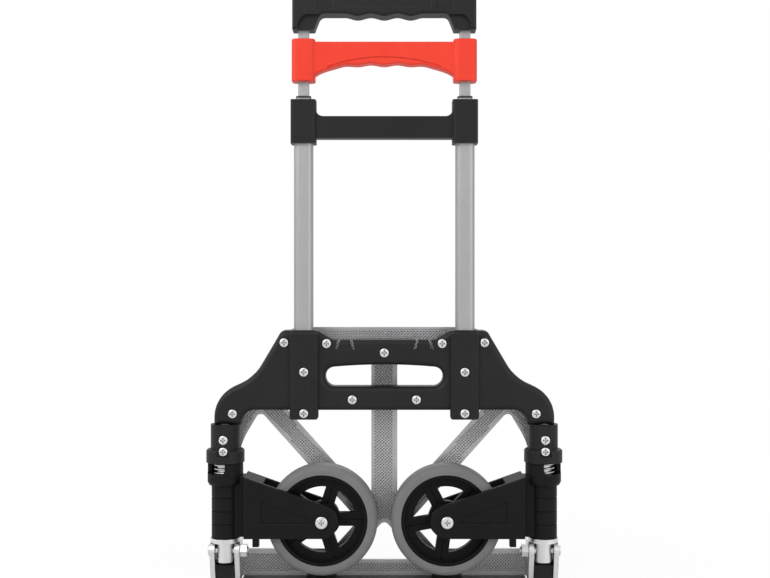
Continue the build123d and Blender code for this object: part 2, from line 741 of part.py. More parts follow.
with BuildPart() as wheel_arm:
    with BuildSketch(upright(-fork_outer)):
        add(fork_outline.sketch)
    extrude(amount=-2 * fork_outer)
    chamfer(wheel_arm.faces().sort_by(Axis.Y)[0].edges(), fork_edge)
    chamfer(wheel_arm.faces().sort_by(Axis.Y)[-1].edges(), fork_edge)
    # room for the wheel between the two plates
    with BuildSketch(Plane.XY.offset(fork_foot - fork_tip_radius)):
        with Locations((fork_mouth_x, 0)):
            Rectangle(2 * wheel_radius + 2 * arm_reach, 2 * fork_inner, align=(Align.MIN, Align.CENTER))
    extrude(amount=2 * fork_top_rise, mode=Mode.SUBTRACT)
    for plane, cut in ((upright(-fork_outer), -panel_depth), (upright(fork_outer), panel_depth)):
        with BuildSketch(plane):
            add(fork_panel.sketch)
        extrude(amount=cut, mode=Mode.SUBTRACT)
    with BuildSketch(upright(-fork_outer)):
        with Locations((axle_x, axle_height)):
            Circle(axle_radius + snug)
    extrude(amount=-2 * fork_outer, mode=Mode.SUBTRACT)
    # lug under the fork body
    lug_foot = fork_foot - lug_drop
    with BuildSketch(Plane.XY.offset(lug_foot)):
        with Locations((lug_start - leg_half_span, fork_edge - fork_outer)):
            Rectangle(lug_width, lug_depth, align=Align.MIN)
    extrude(amount=fork_foot + fork_edge - lug_foot)
    # neck, barrel and spring cup
    with BuildSketch(Plane.XY.offset(fork_foot)):
        with Locations((-leg_half_span, 0)):
            Rectangle(fork_body_start + fork_edge, fork_neck_depth, align=(Align.MIN, Align.CENTER))
    extrude(amount=fork_top_rise - fork_edge)
    with BuildSketch(Plane.XZ):
        with BuildLine():
            Polyline(
                (-leg_half_span, barrel_foot),
                (-leg_half_span - barrel_radius, barrel_foot),
                (-leg_half_span - barrel_radius, barrel_top),
                (-leg_half_span - cup_radius + cup_chamfer / 2, barrel_top),
                (-leg_half_span - cup_radius, barrel_top + cup_chamfer),
                (-leg_half_span - cup_radius, cup_top),
                (-leg_half_span, cup_top),
                close=True,
            )
        make_face()
    revolve(axis=Axis((-leg_half_span, 0, 0), (0, 0, 1)))
    for n in range(barrel_rib_count):
        groove_foot = barrel_foot + barrel_height * (n + 1) / (barrel_rib_count + 1)
        with BuildSketch(Plane.XY.offset(groove_foot)):
            with Locations((-leg_half_span, 0)):
                Circle(barrel_radius)
                Circle(barrel_radius - barrel_groove_depth, mode=Mode.SUBTRACT)
                Rectangle(
                    2 * barrel_radius, fork_neck_depth, align=(Align.MIN, Align.CENTER), mode=Mode.SUBTRACT
                )
        extrude(amount=barrel_groove, mode=Mode.SUBTRACT)
    with BuildSketch(Plane.XY.offset(barrel_top + cup_floor)):
        with Locations((-leg_half_span, 0)):
            Circle(cup_radius - cup_wall)
    extrude(amount=cup_height, mode=Mode.SUBTRACT)
    with BuildSketch(Plane.XY.offset(barrel_foot)):
        with Locations((-leg_half_span, 0)):
            Circle(leg_radius + running_clearance)
    extrude(amount=barrel_height + cup_height, mode=Mode.SUBTRACT)
    # window in the cup, where the spring shows
    with BuildSketch(upright(-cup_radius)):
        with Locations((-leg_half_span - window_shift, cup_top)):
            RectangleRounded(window_width, 2 * window_depth, window_depth / 2)
    extrude(amount=-cup_radius, mode=Mode.SUBTRACT)
keep_pair(wheel_arm.part, "wheel_arm")

axle = cross_screw(axle_head_radius, axle_head_height, axle_radius, 2 * fork_outer - snug)
keep_pair(Pos(axle_x, -fork_outer, axle_height) * axle, "axle_bolt")

# Wheels: bearing, rim and tyre round the axle
axle_plane = Plane((axle_x, 0, axle_height))
axle_line = Axis((axle_x, 0, axle_height), (0, 1, 0))
bearing_radius = axle_radius + running_clearance + bearing_wall
rim_radius = wheel_radius - tyre_thickness
window_outer = rim_radius - rim_ring_thickness

with BuildPart() as wheel_bearing:
    with BuildSketch(Plane((axle_x, -rim_hub_width / 2, axle_height), z_dir=(0, 1, 0))):
        Circle(bearing_radius)
        Circle(axle_radius + running_clearance, mode=Mode.SUBTRACT)
    extrude(amount=rim_hub_width)
keep_pair(wheel_bearing.part, "wheel_bearing")

with BuildPart() as rim:
    with BuildSketch(axle_plane):
        with BuildLine():
            Polyline(
                (bearing_radius + snug, -rim_hub_width / 2),
                (rim_hub_radius, -rim_hub_width / 2),
                (rim_hub_radius, -rim_web_width / 2),
                (rim_radius - rim_lip, -rim_web_width / 2),
                (rim_radius - rim_lip, -rim_ring_width / 2),
                (rim_radius, -rim_ring_width / 2),
                (rim_radius, rim_ring_width / 2),
                (rim_radius - rim_lip, rim_ring_width / 2),
                (rim_radius - rim_lip, rim_web_width / 2),
                (rim_hub_radius, rim_web_width / 2),
                (rim_hub_radius, rim_hub_width / 2),
                (bearing_radius + snug, rim_hub_width / 2),
                close=True,
            )
        make_face()
    revolve(axis=axle_line)
    with BuildSketch(Plane((axle_x, -rim_web_width / 2, axle_height), x_dir=(1, 0, 0), z_dir=(0, 1, 0))):
        Circle(window_outer)
        Circle(rim_hub_radius + rim_lip, mode=Mode.SUBTRACT)
        with PolarLocations(0, spoke_count):
            Rectangle(window_outer, spoke_width, align=(Align.MIN, Align.CENTER), mode=Mode.SUBTRACT)
    extrude(amount=rim_web_width, mode=Mode.SUBTRACT)
    groove_start = rim_hub_radius + spoke_groove_inset
    groove_end = rim_radius - rim_lip - spoke_groove_inset
    for face_y in (-rim_web_width / 2, rim_web_width / 2 - spoke_groove_depth):
        with BuildSketch(Plane((axle_x, face_y, axle_height), x_dir=(1, 0, 0), z_dir=(0, 1, 0))):
            with PolarLocations((groove_start + groove_end) / 2, spoke_count):
                Rectangle(groove_end - groove_start, spoke_groove_width)
        extrude(amount=spoke_groove_depth, mode=Mode.SUBTRACT)
keep(rim.part, "left_rim")
right_axle_line = Axis((-axle_x, 0, axle_height), (0, 1, 0))
keep(mirror(rim.part, about=Plane.YZ).rotate(right_axle_line, right_rim_turn), "right_rim")

with BuildPart() as tyre:
    with BuildSketch(axle_plane) as tyre_section:
        with Locations((rim_radius + snug, 0)):
            Rectangle(tyre_thickness - snug, wheel_width, align=(Align.MIN, Align.CENTER))
        fillet(tyre_section.vertices().group_by(Axis.X)[-1], tyre_edge_radius)
    revolve(axis=axle_line)
keep_pair(tyre.part, "tyre")

# Toe plate: a rim, a middle bar and four slanted bars round open fields
side_run = plate_half_width - plate_top_half_width
side_lean = side_run / plate_knee_drop
bar_run = plate_side_bar * hypot(side_run, plate_knee_drop) / plate_knee_drop
field_half_width = plate_half_width - plate_side_bar
field_top = plate_top - plate_top_bar
field_top_half_width = plate_top_half_width + plate_top_bar * side_lean - bar_run
field_knee = plate_top - (field_half_width + bar_run - plate_top_half_width) / side_lean
# slanted bars: centre lines at mid width, half thicknesses measured upright, and where they end
upper_half = plate_upper_spoke / 2 * hypot(1, plate_spoke_slope)
lower_half = plate_lower_spoke / 2 * hypot(1, plate_spoke_slope)
upper_hub = plate_foot + plate_hub_rise
lower_hub = upper_hub + upper_half - lower_half + plate_spoke_slope * plate_middle_bar - plate_hub_inset
hub_run = (lower_hub - lower_half - upper_hub + upper_half) / (2 * plate_spoke_slope)
lower_run = (lower_hub - plate_foot) / plate_spoke_slope
foot_run = (lower_hub - plate_foot - plate_side_foot_bar) / plate_spoke_slope

outer_knee = plate_knee_radius + plate_side_bar

with BuildSketch() as plate_outline:
    with BuildLine():
        FilletPolyline(
            (-plate_half_width, plate_foot),
            (-plate_half_width, plate_top - plate_knee_drop),
            (-plate_top_half_width, plate_top),
            (plate_top_half_width, plate_top),
            (plate_half_width, plate_top - plate_knee_drop),
            (plate_half_width, plate_foot),
            radius=(0, outer_knee, plate_corner_radius, plate_corner_radius, outer_knee, 0),
            close=True,
        )
    make_face()

with BuildSketch() as plate_fields:
    with BuildLine():
        FilletPolyline(
            (-field_half_width, plate_foot + plate_foot_bar),
            (-field_half_width, field_knee),
            (-field_top_half_width, field_top),
            (field_top_half_width, field_top),
            (field_half_width, field_knee),
            (field_half_width, plate_foot + plate_foot_bar),
            radius=(0, plate_knee_radius, 0, 0, plate_knee_radius, 0),
            close=True,
        )
    make_face()
    with Locations((0, lower_hub)):
        Rectangle(plate_middle_bar, plate_height, align=(Align.CENTER, Align.MIN), mode=Mode.SUBTRACT)
    for side in (-1, 1):
        Polygon(
            (side * hub_run, upper_hub + plate_spoke_slope * hub_run - upper_half),
            (0, lower_hub),
            (side * plate_middle_bar / 2, upper_hub + plate_spoke_slope * plate_middle_bar / 2 + upper_half),
            (side * plate_half_width, upper_hub + plate_spoke_slope * plate_half_width + upper_half),
            (side * plate_half_width, upper_hub + plate_spoke_slope * plate_half_width - upper_half),
            mode=Mode.SUBTRACT,
        )
        Polygon(
            (0, lower_hub - lower_half),
            (0, lower_hub + lower_half),
            (side * lower_run, plate_foot + lower_half),
            (side * lower_run, plate_foot - lower_half),
            mode=Mode.SUBTRACT,
        )
        Polygon(
            (side * foot_run, plate_foot),
            (side * foot_run, plate_foot + plate_side_foot_bar),
            (side * plate_half_width, plate_foot + plate_side_foot_bar),
            (side * plate_half_width, plate_foot),
            mode=Mode.SUBTRACT,
        )


def sharp_corners(fields):
    """The corners of the open fields, without the ends of their long curves."""
    return fields.edges().filter_by(Axis.Y) - fields.faces().filter_by(GeomType.CYLINDER).edges()


with BuildPart() as plate_openings:
    with BuildSketch(upright(plate_front)):
        add(plate_fields.sketch)
    extrude(amount=-plate_thickness)
    fillet(sharp_corners(plate_openings), plate_opening_radius)

# the smooth margins round the openings
with BuildPart() as opening_margins:
    with BuildSketch(upright(plate_front)):
        add(plate_fields.sketch)
        offset(amount=plate_mesh_margin, kind=Kind.INTERSECTION)
    extrude(amount=-plate_mesh_depth)
    fillet(sharp_corners(opening_margins), plate_opening_radius + plate_mesh_margin)

bracket_rivets = [
    (side * leg_half_span + end * bracket_rivet_spacing / 2, hinge_height - bracket_rivet_drop)
    for side in (-1, 1)
    for end in (-1, 1)
]
heel_rivets = [
    (side * heel_tab_centre + end * heel_rivet_spacing / 2, plate_foot + heel_tab_height / 2)
    for side in (-1, 1)
    for end in (-1, 1)
]

with BuildPart() as mesh_recess:
    with BuildSketch(upright(plate_front)):
        add(plate_outline.sketch)
        offset(amount=-plate_mesh_margin)
    extrude(amount=-plate_mesh_depth)
    add(opening_margins.part, mode=Mode.SUBTRACT)

with BuildPart() as toe_plate:
    with BuildSketch(upright(plate_front)):
        add(plate_outline.sketch)
    extrude(amount=-plate_thickness)
    add(plate_openings.part, mode=Mode.SUBTRACT)
    # the embossed mesh lies a little lower than the smooth margins
    add(mesh_recess.part, mode=Mode.SUBTRACT)
    with BuildSketch(upright(plate_front)):
        with Locations(*bracket_rivets, *heel_rivets):
            Circle(rivet_radius + snug)
    extrude(amount=-plate_thickness, mode=Mode.SUBTRACT)
keep(toe_plate.part, "toe_plate")

# Hinge brackets, the blocks between their ears, and the pins they turn on
bracket_back = plate_front - bracket_base

with BuildPart() as hinge_bracket:
    with BuildSketch(Plane.XY.offset(plate_foot)):
        with Locations((-leg_half_span, plate_front)):
            Rectangle(2 * ear_outer, bracket_base, align=(Align.CENTER, Align.MAX))
    extrude(amount=hinge_height + bracket_base_top - plate_foot)
    for ear_start in (-ear_outer, ear_inner):
        with BuildSketch(Plane.YZ.offset(-leg_half_span + ear_start)):
            Polygon(
                (-ear_radius, hinge_height),
                (-ear_foot_back, plate_foot),
                (plate_front, plate_foot),
                (plate_front, hinge_height),
            )
            with Locations((0, hinge_height)):
                Circle(ear_radius)
                Rectangle(plate_front, ear_radius, align=Align.MIN)
        extrude(amount=ear_thickness)
    with BuildSketch(Plane.YZ.offset(-leg_half_span - ear_outer)):
        with Locations((0, hinge_height)):
            Circle(hinge_pin_radius + snug)
    extrude(amount=2 * ear_outer, mode=Mode.SUBTRACT)
    with BuildSketch(upright(bracket_back)):
        with Locations(*bracket_rivets):
            Circle(rivet_radius + snug)
    extrude(amount=-bracket_base, mode=Mode.SUBTRACT)
keep_pair(hinge_bracket.part, "hinge_bracket")

leg_corner_reach = hypot(leg_radius, leg_foot_drop)
with BuildPart() as cam_block:
    with BuildSketch(Plane.XY.offset(plate_foot)):
        with Locations((-leg_half_span, bracket_back)):
            Rectangle(2 * (ear_inner - cam_block_side_gap), bracket_back, align=(Align.CENTER, Align.MAX))
    extrude(amount=hinge_height - leg_corner_reach - turning_gap - plate_foot)
    chamfer(cam_block.edges().filter_by(Axis.X).group_by(Axis.Y)[0], fork_edge)
keep_pair(cam_block.part, "cam_block")

with BuildPart() as hinge_pin:
    with BuildSketch(Plane.YZ.offset(-leg_half_span - ear_outer - hinge_head)):
        with Locations((0, hinge_height)):
            Circle(hinge_head_radius)
    extrude(amount=hinge_head)
    fillet(hinge_pin.faces().sort_by(Axis.X)[0].edges(), hinge_head / 2)
    with BuildSketch(Plane.YZ.offset(-leg_half_span - ear_outer)):
        with Locations((0, hinge_height)):
            Circle(hinge_pin_radius)
    extrude(amount=2 * ear_outer + hinge_nut + hinge_pin_proud)
keep_pair(hinge_pin.part, "hinge_pin")

with BuildPart() as hinge_nuts:
    for nut_start in (-leg_half_span + ear_outer, leg_half_span - ear_outer - hinge_nut):
        with BuildSketch(Plane.YZ.offset(nut_start)):
            with Locations((0, hinge_height)):
                RegularPolygon(hinge_nut_radius, 6)
                Circle(hinge_pin_radius + snug, mode=Mode.SUBTRACT)
        extrude(amount=hinge_nut)
keep(hinge_nuts.part, "hinge_nuts")

with BuildPart() as heel_bar:
    with BuildSketch(Plane.XY):
        with Locations((0, -heel_back)):
            Rectangle(2 * heel_half_width, heel_back + plate_back, align=(Align.CENTER, Align.MIN))
    extrude(amount=heel_thickness)
    with BuildSketch(Plane.XY.offset(heel_thickness)):
        for side in (-1, 1):
            with Locations((side * heel_tab_centre, plate_front)):
                Rectangle(heel_tab_width, heel_tab_thickness, align=(Align.CENTER, Align.MAX))
    extrude(amount=heel_tab_height)
    with BuildSketch(upright(plate_front)):
        with Locations(*heel_rivets):
            Circle(rivet_radius + snug)
    extrude(amount=heel_tab_thickness, mode=Mode.SUBTRACT)
keep(heel_bar.part, "heel_bar")

with BuildPart() as plate_rivets:
    for places, seat in ((bracket_rivets, bracket_back), (heel_rivets, plate_front - heel_tab_thickness)):
        with BuildSketch(upright(seat)):
            with Locations(*places):
                Circle(rivet_head_radius)
        extrude(amount=rivet_head)
        with BuildSketch(upright(seat)):
            with Locations(*places):
                Circle(rivet_radius)
        extrude(amount=seat - plate_back)
keep(plate_rivets.part, "plate_rivets")

# Outer stage: two tubes, the bushes in their tops, and the cross bracket
keep_pair(rail_tube(rail_width, rail_depth, rail_corner, outer_foot, outer_tube_length), "outer_tube")

with BuildPart() as outer_bush:
    with BuildSketch(Plane.XY.offset(outer_top - bush_skirt)):
        with Locations((-rail_half_span, 0)):
            section(rail_width, rail_depth, rail_corner, -rail_wall - snug)
    extrude(amount=bush_skirt)
    with BuildSketch(Plane.XY.offset(outer_top)):
        with Locations((-rail_half_span, 0)):
            section(rail_width, rail_depth, rail_corner)
    extrude(amount=bush_flange)
    with BuildSketch(Plane.XY.offset(outer_top - bush_skirt)):
        with Locations((-rail_half_span, 0)):
            section(middle_width, middle_depth, middle_corner, slide_clearance)
    extrude(amount=bush_skirt + bush_flange, mode=Mode.SUBTRACT)
keep_pair(outer_bush.part, "outer_bush")

bar_foot = bracket_foot + bracket_bar_rise
bar_top = bar_foot + bracket_bar_height
with BuildPart() as cross_bracket:
    with BuildSketch(Plane.XY.offset(bracket_foot)):
        with Locations(*rail_places):
            RectangleRounded(bracket_socket_width, bracket_socket_depth, bracket_socket_corner)
    extrude(amount=bracket_height)
    with BuildSketch(upright(-bracket_bar_depth / 2)):
        with Locations((0, bar_foot)):
            Rectangle(2 * rail_half_span, bracket_bar_height, align=(Align.CENTER, Align.MIN))
    extrude(amount=-bracket_bar_depth)
    corner_edges = cross_bracket.edges().filter_by(Axis.Y).filter_by_position(
        Axis.Z, bar_top - snug, bar_top + snug
    )
    fillet(corner_edges, bracket_bar_corner)
    with BuildSketch(Plane.XY.offset(bracket_foot)):
        with Locations(*rail_places):
            section(rail_width, rail_depth, rail_corner, snug)
    extrude(amount=bracket_height - bracket_roof, mode=Mode.SUBTRACT)
    with BuildSketch(Plane.XY.offset(bracket_foot)):
        with Locations(*rail_places):
            section(middle_width, middle_depth, middle_corner, slide_clearance)
    extrude(amount=bracket_height, mode=Mode.SUBTRACT)
keep(cross_bracket.part, "cross_bracket")

# Middle stage: two tubes with a collar on top and a glide at the foot
lock_pin_height = inner_foot - lock_glide / 2
with BuildPart() as middle_tube:
    add(rail_tube(middle_width, middle_depth, middle_corner, middle_foot, middle_tube_length))
    # the hole that the lock pin meets when the inner tube is drawn out
    with BuildSketch(Plane.YZ.offset(-rail_half_span - middle_width / 2)):
        with Locations((0, lock_pin_height + inner_travel)):
            Circle(lock_pin_radius + slide_clearance)
    extrude(amount=middle_width / 2, mode=Mode.SUBTRACT)
keep_pair(middle_tube.part, "middle_tube")

with BuildPart() as middle_bush:
    with BuildSketch(Plane.XY.offset(middle_top - bush_skirt)):
        with Locations((-rail_half_span, 0)):
            section(middle_width, middle_depth, middle_corner, -rail_wall - snug)
    extrude(amount=bush_skirt)
    with BuildSketch(Plane.XY.offset(middle_top)):
        with Locations((-rail_half_span, 0)):
            section(middle_width, middle_depth, middle_corner)
    extrude(amount=middle_cap)
    with BuildSketch(Plane.XY.offset(middle_top - bush_skirt)):
        with Locations((-rail_half_span, 0)):
            section(inner_width, inner_depth, inner_corner, slide_clearance)
    extrude(amount=bush_skirt + middle_cap, mode=Mode.SUBTRACT)
keep_pair(middle_bush.part, "middle_bush")

with BuildPart() as middle_glide:
    with BuildSketch(Plane.XY.offset(middle_foot - glide_height)):
        with Locations((-rail_half_span, 0)):
            section(rail_width, rail_depth, rail_corner, -rail_wall - slide_clearance)
    extrude(amount=glide_height)
    with BuildSketch(Plane.XY.offset(middle_foot)):
        with Locations((-rail_half_span, 0)):
            section(middle_width, middle_depth, middle_corner, -rail_wall - snug)
    extrude(amount=glide_plug)
    with BuildSketch(Plane.XY.offset(middle_foot - glide_height)):
        with Locations((-rail_half_span, 0)):
            section(middle_width, middle_depth, middle_corner, -rail_wall - glide_wall)
    extrude(amount=glide_height + glide_plug, mode=Mode.SUBTRACT)
keep_pair(middle_glide.part, "middle_glide")

# Inner stage: two tubes with a lock block at the foot
pin_slot_width = 2 * (grip_pin_radius + slide_clearance)
with BuildPart() as inner_tube:
    add(rail_tube(inner_width, inner_depth, inner_corner, inner_foot, inner_tube_length))
    with BuildSketch(Plane.YZ.offset(-rail_half_span - inner_width / 2)):
        with Locations((0, grip_pin_height - pin_slot_width / 2)):
            Rectangle(pin_slot_width, pin_slot_width + grip_travel, align=(Align.CENTER, Align.MIN))
    extrude(amount=inner_width, mode=Mode.SUBTRACT)
keep_pair(inner_tube.part, "inner_tube")

glide_half = middle_width / 2 - rail_wall - slide_clearance
lock_pin_nose = -rail_half_span - glide_half
with BuildPart() as lock_block:
    with BuildSketch(Plane.XY.offset(inner_foot - lock_glide)):
        with Locations((-rail_half_span, 0)):
            section(middle_width, middle_depth, middle_corner, -rail_wall - slide_clearance)
    extrude(amount=lock_glide)
    with BuildSketch(Plane.XY.offset(inner_foot)):
        with Locations((-rail_half_span, 0)):
            section(inner_width, inner_depth, inner_corner, -rail_wall - snug)
    extrude(amount=lock_plug)
    with BuildSketch(Plane.XY.offset(lock_pin_height)):
        with Locations((-rail_half_span, 0)):
            Circle(rod_radius + slide_clearance)
    extrude(amount=lock_glide + lock_plug, mode=Mode.SUBTRACT)
    with BuildSketch(Plane.YZ.offset(lock_pin_nose)):
        with Locations((0, lock_pin_height)):
            Circle(lock_pin_radius + running_clearance)
    extrude(amount=lock_pin_length + lock_travel + slide_clearance, mode=Mode.SUBTRACT)
keep_pair(lock_block.part, "lock_block")

with BuildPart() as lock_pin:
    with BuildSketch(Plane.YZ.offset(lock_pin_nose)):
        with Locations((0, lock_pin_height)):
            Circle(lock_pin_radius)
    extrude(amount=lock_pin_length)
keep_pair(lock_pin.part, "lock_pin")

# Release grip with its cross pins and pull rods
grip_bar_top = grip_top - grip_bar_drop
grip_bar_low = grip_foot + grip_bar_foot
grip_half = rail_half_span - grip_socket_width / 2


def grip_underside(x):
    """Height of the lower side of the grip bar: an arch with shallow finger waves that fade out."""
    share = abs(x) / grip_half
    wave = grip_wave * cos(2 * pi * x / grip_wave_length) * (1 - share**2)
    return grip_bar_low - grip_arch_rise * share**grip_arch_power - wave


with BuildPart() as release_grip:
    with BuildSketch(upright(-grip_bar_depth / 2)):
        with BuildLine():
            wave_steps = round(4 * grip_half / grip_wave_length)
            wave_xs = [grip_half * n / wave_steps for n in range(-wave_steps, wave_steps + 1)]
            low_ends = [(x, grip_underside(grip_half)) for x in (-rail_half_span, rail_half_span)]
            lower = Spline(*[(x, grip_underside(x)) for x in wave_xs])
            Polyline(
                lower @ 1,
                low_ends[1],
                (rail_half_span, grip_bar_top),
                (-rail_half_span, grip_bar_top),
                low_ends[0],
                lower @ 0,
            )
        make_face()
    extrude(amount=-grip_bar_depth)
    bar_faces = release_grip.faces().sort_by(Axis.Y)
    fillet(bar_faces[0].edges() + bar_faces[-1].edges(), grip_edge)
    # the arched line on the back of the bar
    with BuildSketch(upright(-grip_bar_depth / 2)):
        with BuildLine():
            ThreePointArc(
                (-grip_groove_reach, grip_bar_low + grip_groove_rise - grip_groove_sag),
                (0, grip_bar_low + grip_groove_rise),
                (grip_groove_reach, grip_bar_low + grip_groove_rise - grip_groove_sag),
            )
        trace(line_width=grip_groove_width)
    extrude(amount=-grip_groove_depth, mode=Mode.SUBTRACT)
    with BuildSketch(Plane.XY.offset(grip_foot)):
        with Locations(*rail_places):
            RectangleRounded(grip_socket_width, grip_socket_depth, grip_socket_corner)
    extrude(amount=grip_height)
    socket_faces = release_grip.faces().filter_by(Axis.Z).group_by(Axis.Z)
    fillet(socket_faces[0].edges() + socket_faces[-1].edges(), grip_edge / 2)
    with BuildSketch(Plane.XY.offset(grip_foot)):
        with Locations(*rail_places):
            section(inner_width, inner_depth, inner_corner, slide_clearance)
    extrude(amount=grip_height, mode=Mode.SUBTRACT)
    for x, _ in rail_places:
        with BuildSketch(Plane.YZ.offset(x - grip_pin_length / 2)):
            with Locations((0, grip_pin_height)):
                Circle(grip_pin_radius + snug)
        extrude(amount=grip_pin_length, mode=Mode.SUBTRACT)
keep(release_grip.part, "release_grip")

with BuildPart() as grip_pins:
    for x, _ in rail_places:
        with BuildSketch(Plane.YZ.offset(x - grip_pin_length / 2)):
            with Locations((0, grip_pin_height)):
                Circle(grip_pin_radius)
        extrude(amount=grip_pin_length)
keep(grip_pins.part, "grip_pins")

rod_foot = lock_pin_height + lock_pin_radius + rod_foot_gap
rod_top = grip_pin_height + rod_head_height / 2
with BuildPart() as pull_rod:
    with BuildSketch(Plane.XY.offset(rod_foot)):
        with Locations((-rail_half_span, 0)):
            Circle(rod_radius)
    extrude(amount=rod_top - rod_foot)
    with BuildSketch(Plane.XY.offset(rod_top)):
        with Locations((-rail_half_span, 0)):
            Rectangle(rod_head_width, rod_head_depth)
    extrude(amount=-rod_head_height)
    with BuildSketch(Plane.YZ.offset(-rail_half_span - rod_head_width / 2)):
        with Locations((0, grip_pin_height)):
            Circle(grip_pin_radius + snug)
    extrude(amount=rod_head_width, mode=Mode.SUBTRACT)
keep_pair(pull_rod.part, "pull_rod")

return_coil_radius = inner_depth / 2 - rail_wall - slide_clearance - return_wire / 2
return_coil_foot = rod_top + snug + return_wire / 2
return_coil_height = inner_top - snug - return_wire / 2 - return_coil_foot
return_spring, return_curl_gap = coil(
    -rail_half_span, return_coil_radius, return_coil_foot, return_coil_height, return_wire, return_curls
)
print("least gap between curls of a return spring, mm:", round(return_curl_gap, 2))
keep(Compound(children=[return_spring, mirror(return_spring, about=Plane.YZ)]), "return_springs")

# Top handle: two halves, held by screws from the front
handle_side = rail_half_span + handle_socket_width / 2
handle_top = handle_foot + handle_height
handle_bar_foot = handle_foot + handle_bar_rise
handle_inside = handle_side - handle_socket_width
wave_half = handle_wave_count * handle_wave_length / 2
handle_middle = (handle_bar_foot + handle_top) / 2
handle_screw_places = [(x, handle_middle) for x in (-handle_screw_spread, 0, handle_screw_spread)]

with BuildSketch() as handle_outline:
    with BuildLine():
        FilletPolyline(
            (-wave_half, handle_bar_foot),
            (-(handle_inside - handle_slant), handle_bar_foot),
            (-handle_inside, handle_foot),
            (-handle_side, handle_foot),
            (-handle_side, handle_top),
            (handle_side, handle_top),
            (handle_side, handle_foot),
            (handle_inside, handle_foot),
            (handle_inside - handle_slant, handle_bar_foot),
            (wave_half, handle_bar_foot),
            radius=(handle_slant, 0, 0, handle_top_radius, handle_top_radius, 0, 0, handle_slant),
        )
        wave_steps = 4 * handle_wave_count
        bumps = [wave_half * (2 * n / wave_steps - 1) for n in range(wave_steps + 1)]
        Spline(
            *[
                (x, handle_bar_foot - handle_wave / 2 * (1 + cos(2 * pi * x / handle_wave_length)))
                for x in bumps
            ],
            tangents=((1, 0), (1, 0)),
        )
    make_face()

with BuildSketch() as handle_pocket:
    with Locations((0, handle_middle)):
        Rectangle(
            2 * (handle_inside - handle_slant - handle_wall), handle_top - handle_bar_foot - 2 * handle_wall
        )
    with Locations(*handle_screw_places):
        Circle(screw_boss_radius, mode=Mode.SUBTRACT)

with BuildPart() as handle_holes:
    with BuildSketch(Plane.XY.offset(handle_foot)):
        with Locations(*rail_places):
            section(inner_width, inner_depth, inner_corner, snug)
    extrude(amount=handle_socket_hold)
    with BuildSketch(upright(handle_depth)):
        with Locations(*handle_screw_places):
            Circle(screw_radius + snug)
    extrude(amount=screw_seat + frame_screw_length + snug)
    with BuildSketch(upright(handle_depth)):
        with Locations(*handle_screw_places):
            Circle(screw_head_radius + screw_head_gap)
    extrude(amount=screw_seat)

with BuildPart() as handle_rear_half:
    with BuildSketch(upright(-handle_depth)):
        add(handle_outline.sketch)
    extrude(amount=-handle_depth)
    fillet(handle_rear_half.faces().sort_by(Axis.Y)[0].edges(), handle_edge)
    with BuildSketch(upright(0)):
        add(handle_pocket.sketch)
    extrude(amount=handle_depth - handle_wall, mode=Mode.SUBTRACT)
    with BuildSketch(upright(-handle_depth)):
        with Locations((0, handle_middle)):
            Rectangle(handle_panel_width, handle_panel_height)
    extrude(amount=-handle_panel_depth, mode=Mode.SUBTRACT)
    with BuildSketch(upright(-handle_depth)):
        with Locations((-handle_field_centre, handle_middle), (handle_field_centre, handle_middle)):
            Rectangle(handle_field_width, handle_field_height)
    extrude(amount=-handle_field_depth, mode=Mode.SUBTRACT)
    # an arch over the foot of each socket
    with BuildSketch(upright(-handle_depth)):
        arch_outside = handle_side - handle_arch_wall
        arch_inside = arch_outside - handle_arch_width
        arch_far = handle_inside - 2 * handle_slant
        arch_top = handle_foot + handle_arch_rise
        with BuildLine():
            EllipticalCenterArc(
                (arch_inside, handle_foot), handle_arch_width, handle_arch_rise, start_angle=0, arc_size=90
            )
            Polyline(
                (arch_inside, arch_top),
                (arch_far, arch_top),
                (arch_far, handle_foot),
                (arch_outside, handle_foot),
            )
        make_face()
        mirror(about=Plane.YZ)
    extrude(amount=-handle_arch_depth, mode=Mode.SUBTRACT)
    add(handle_holes.part, mode=Mode.SUBTRACT)
keep(handle_rear_half.part, "handle_rear_half")

with BuildPart() as handle_front_half:
    with BuildSketch(upright(0)):
        add(handle_outline.sketch)
    extrude(amount=-handle_depth)
    fillet(handle_front_half.faces().sort_by(Axis.Y)[-1].edges(), handle_edge)
    with BuildSketch(upright(0)):
        add(handle_pocket.sketch)
    extrude(amount=handle_wall - handle_depth, mode=Mode.SUBTRACT)
    add(handle_holes.part, mode=Mode.SUBTRACT)
keep(handle_front_half.part, "handle_front_half")

turned = Rot(0, 0, 180) * long_screw
handle_seat = handle_depth - screw_seat
keep(screw_group(turned, [(x, handle_seat, z) for x, z in handle_screw_places]), "handle_screws")
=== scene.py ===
import json
import math

import bmesh
import bpy
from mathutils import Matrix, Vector
from mathutils.bvhtree import BVHTree


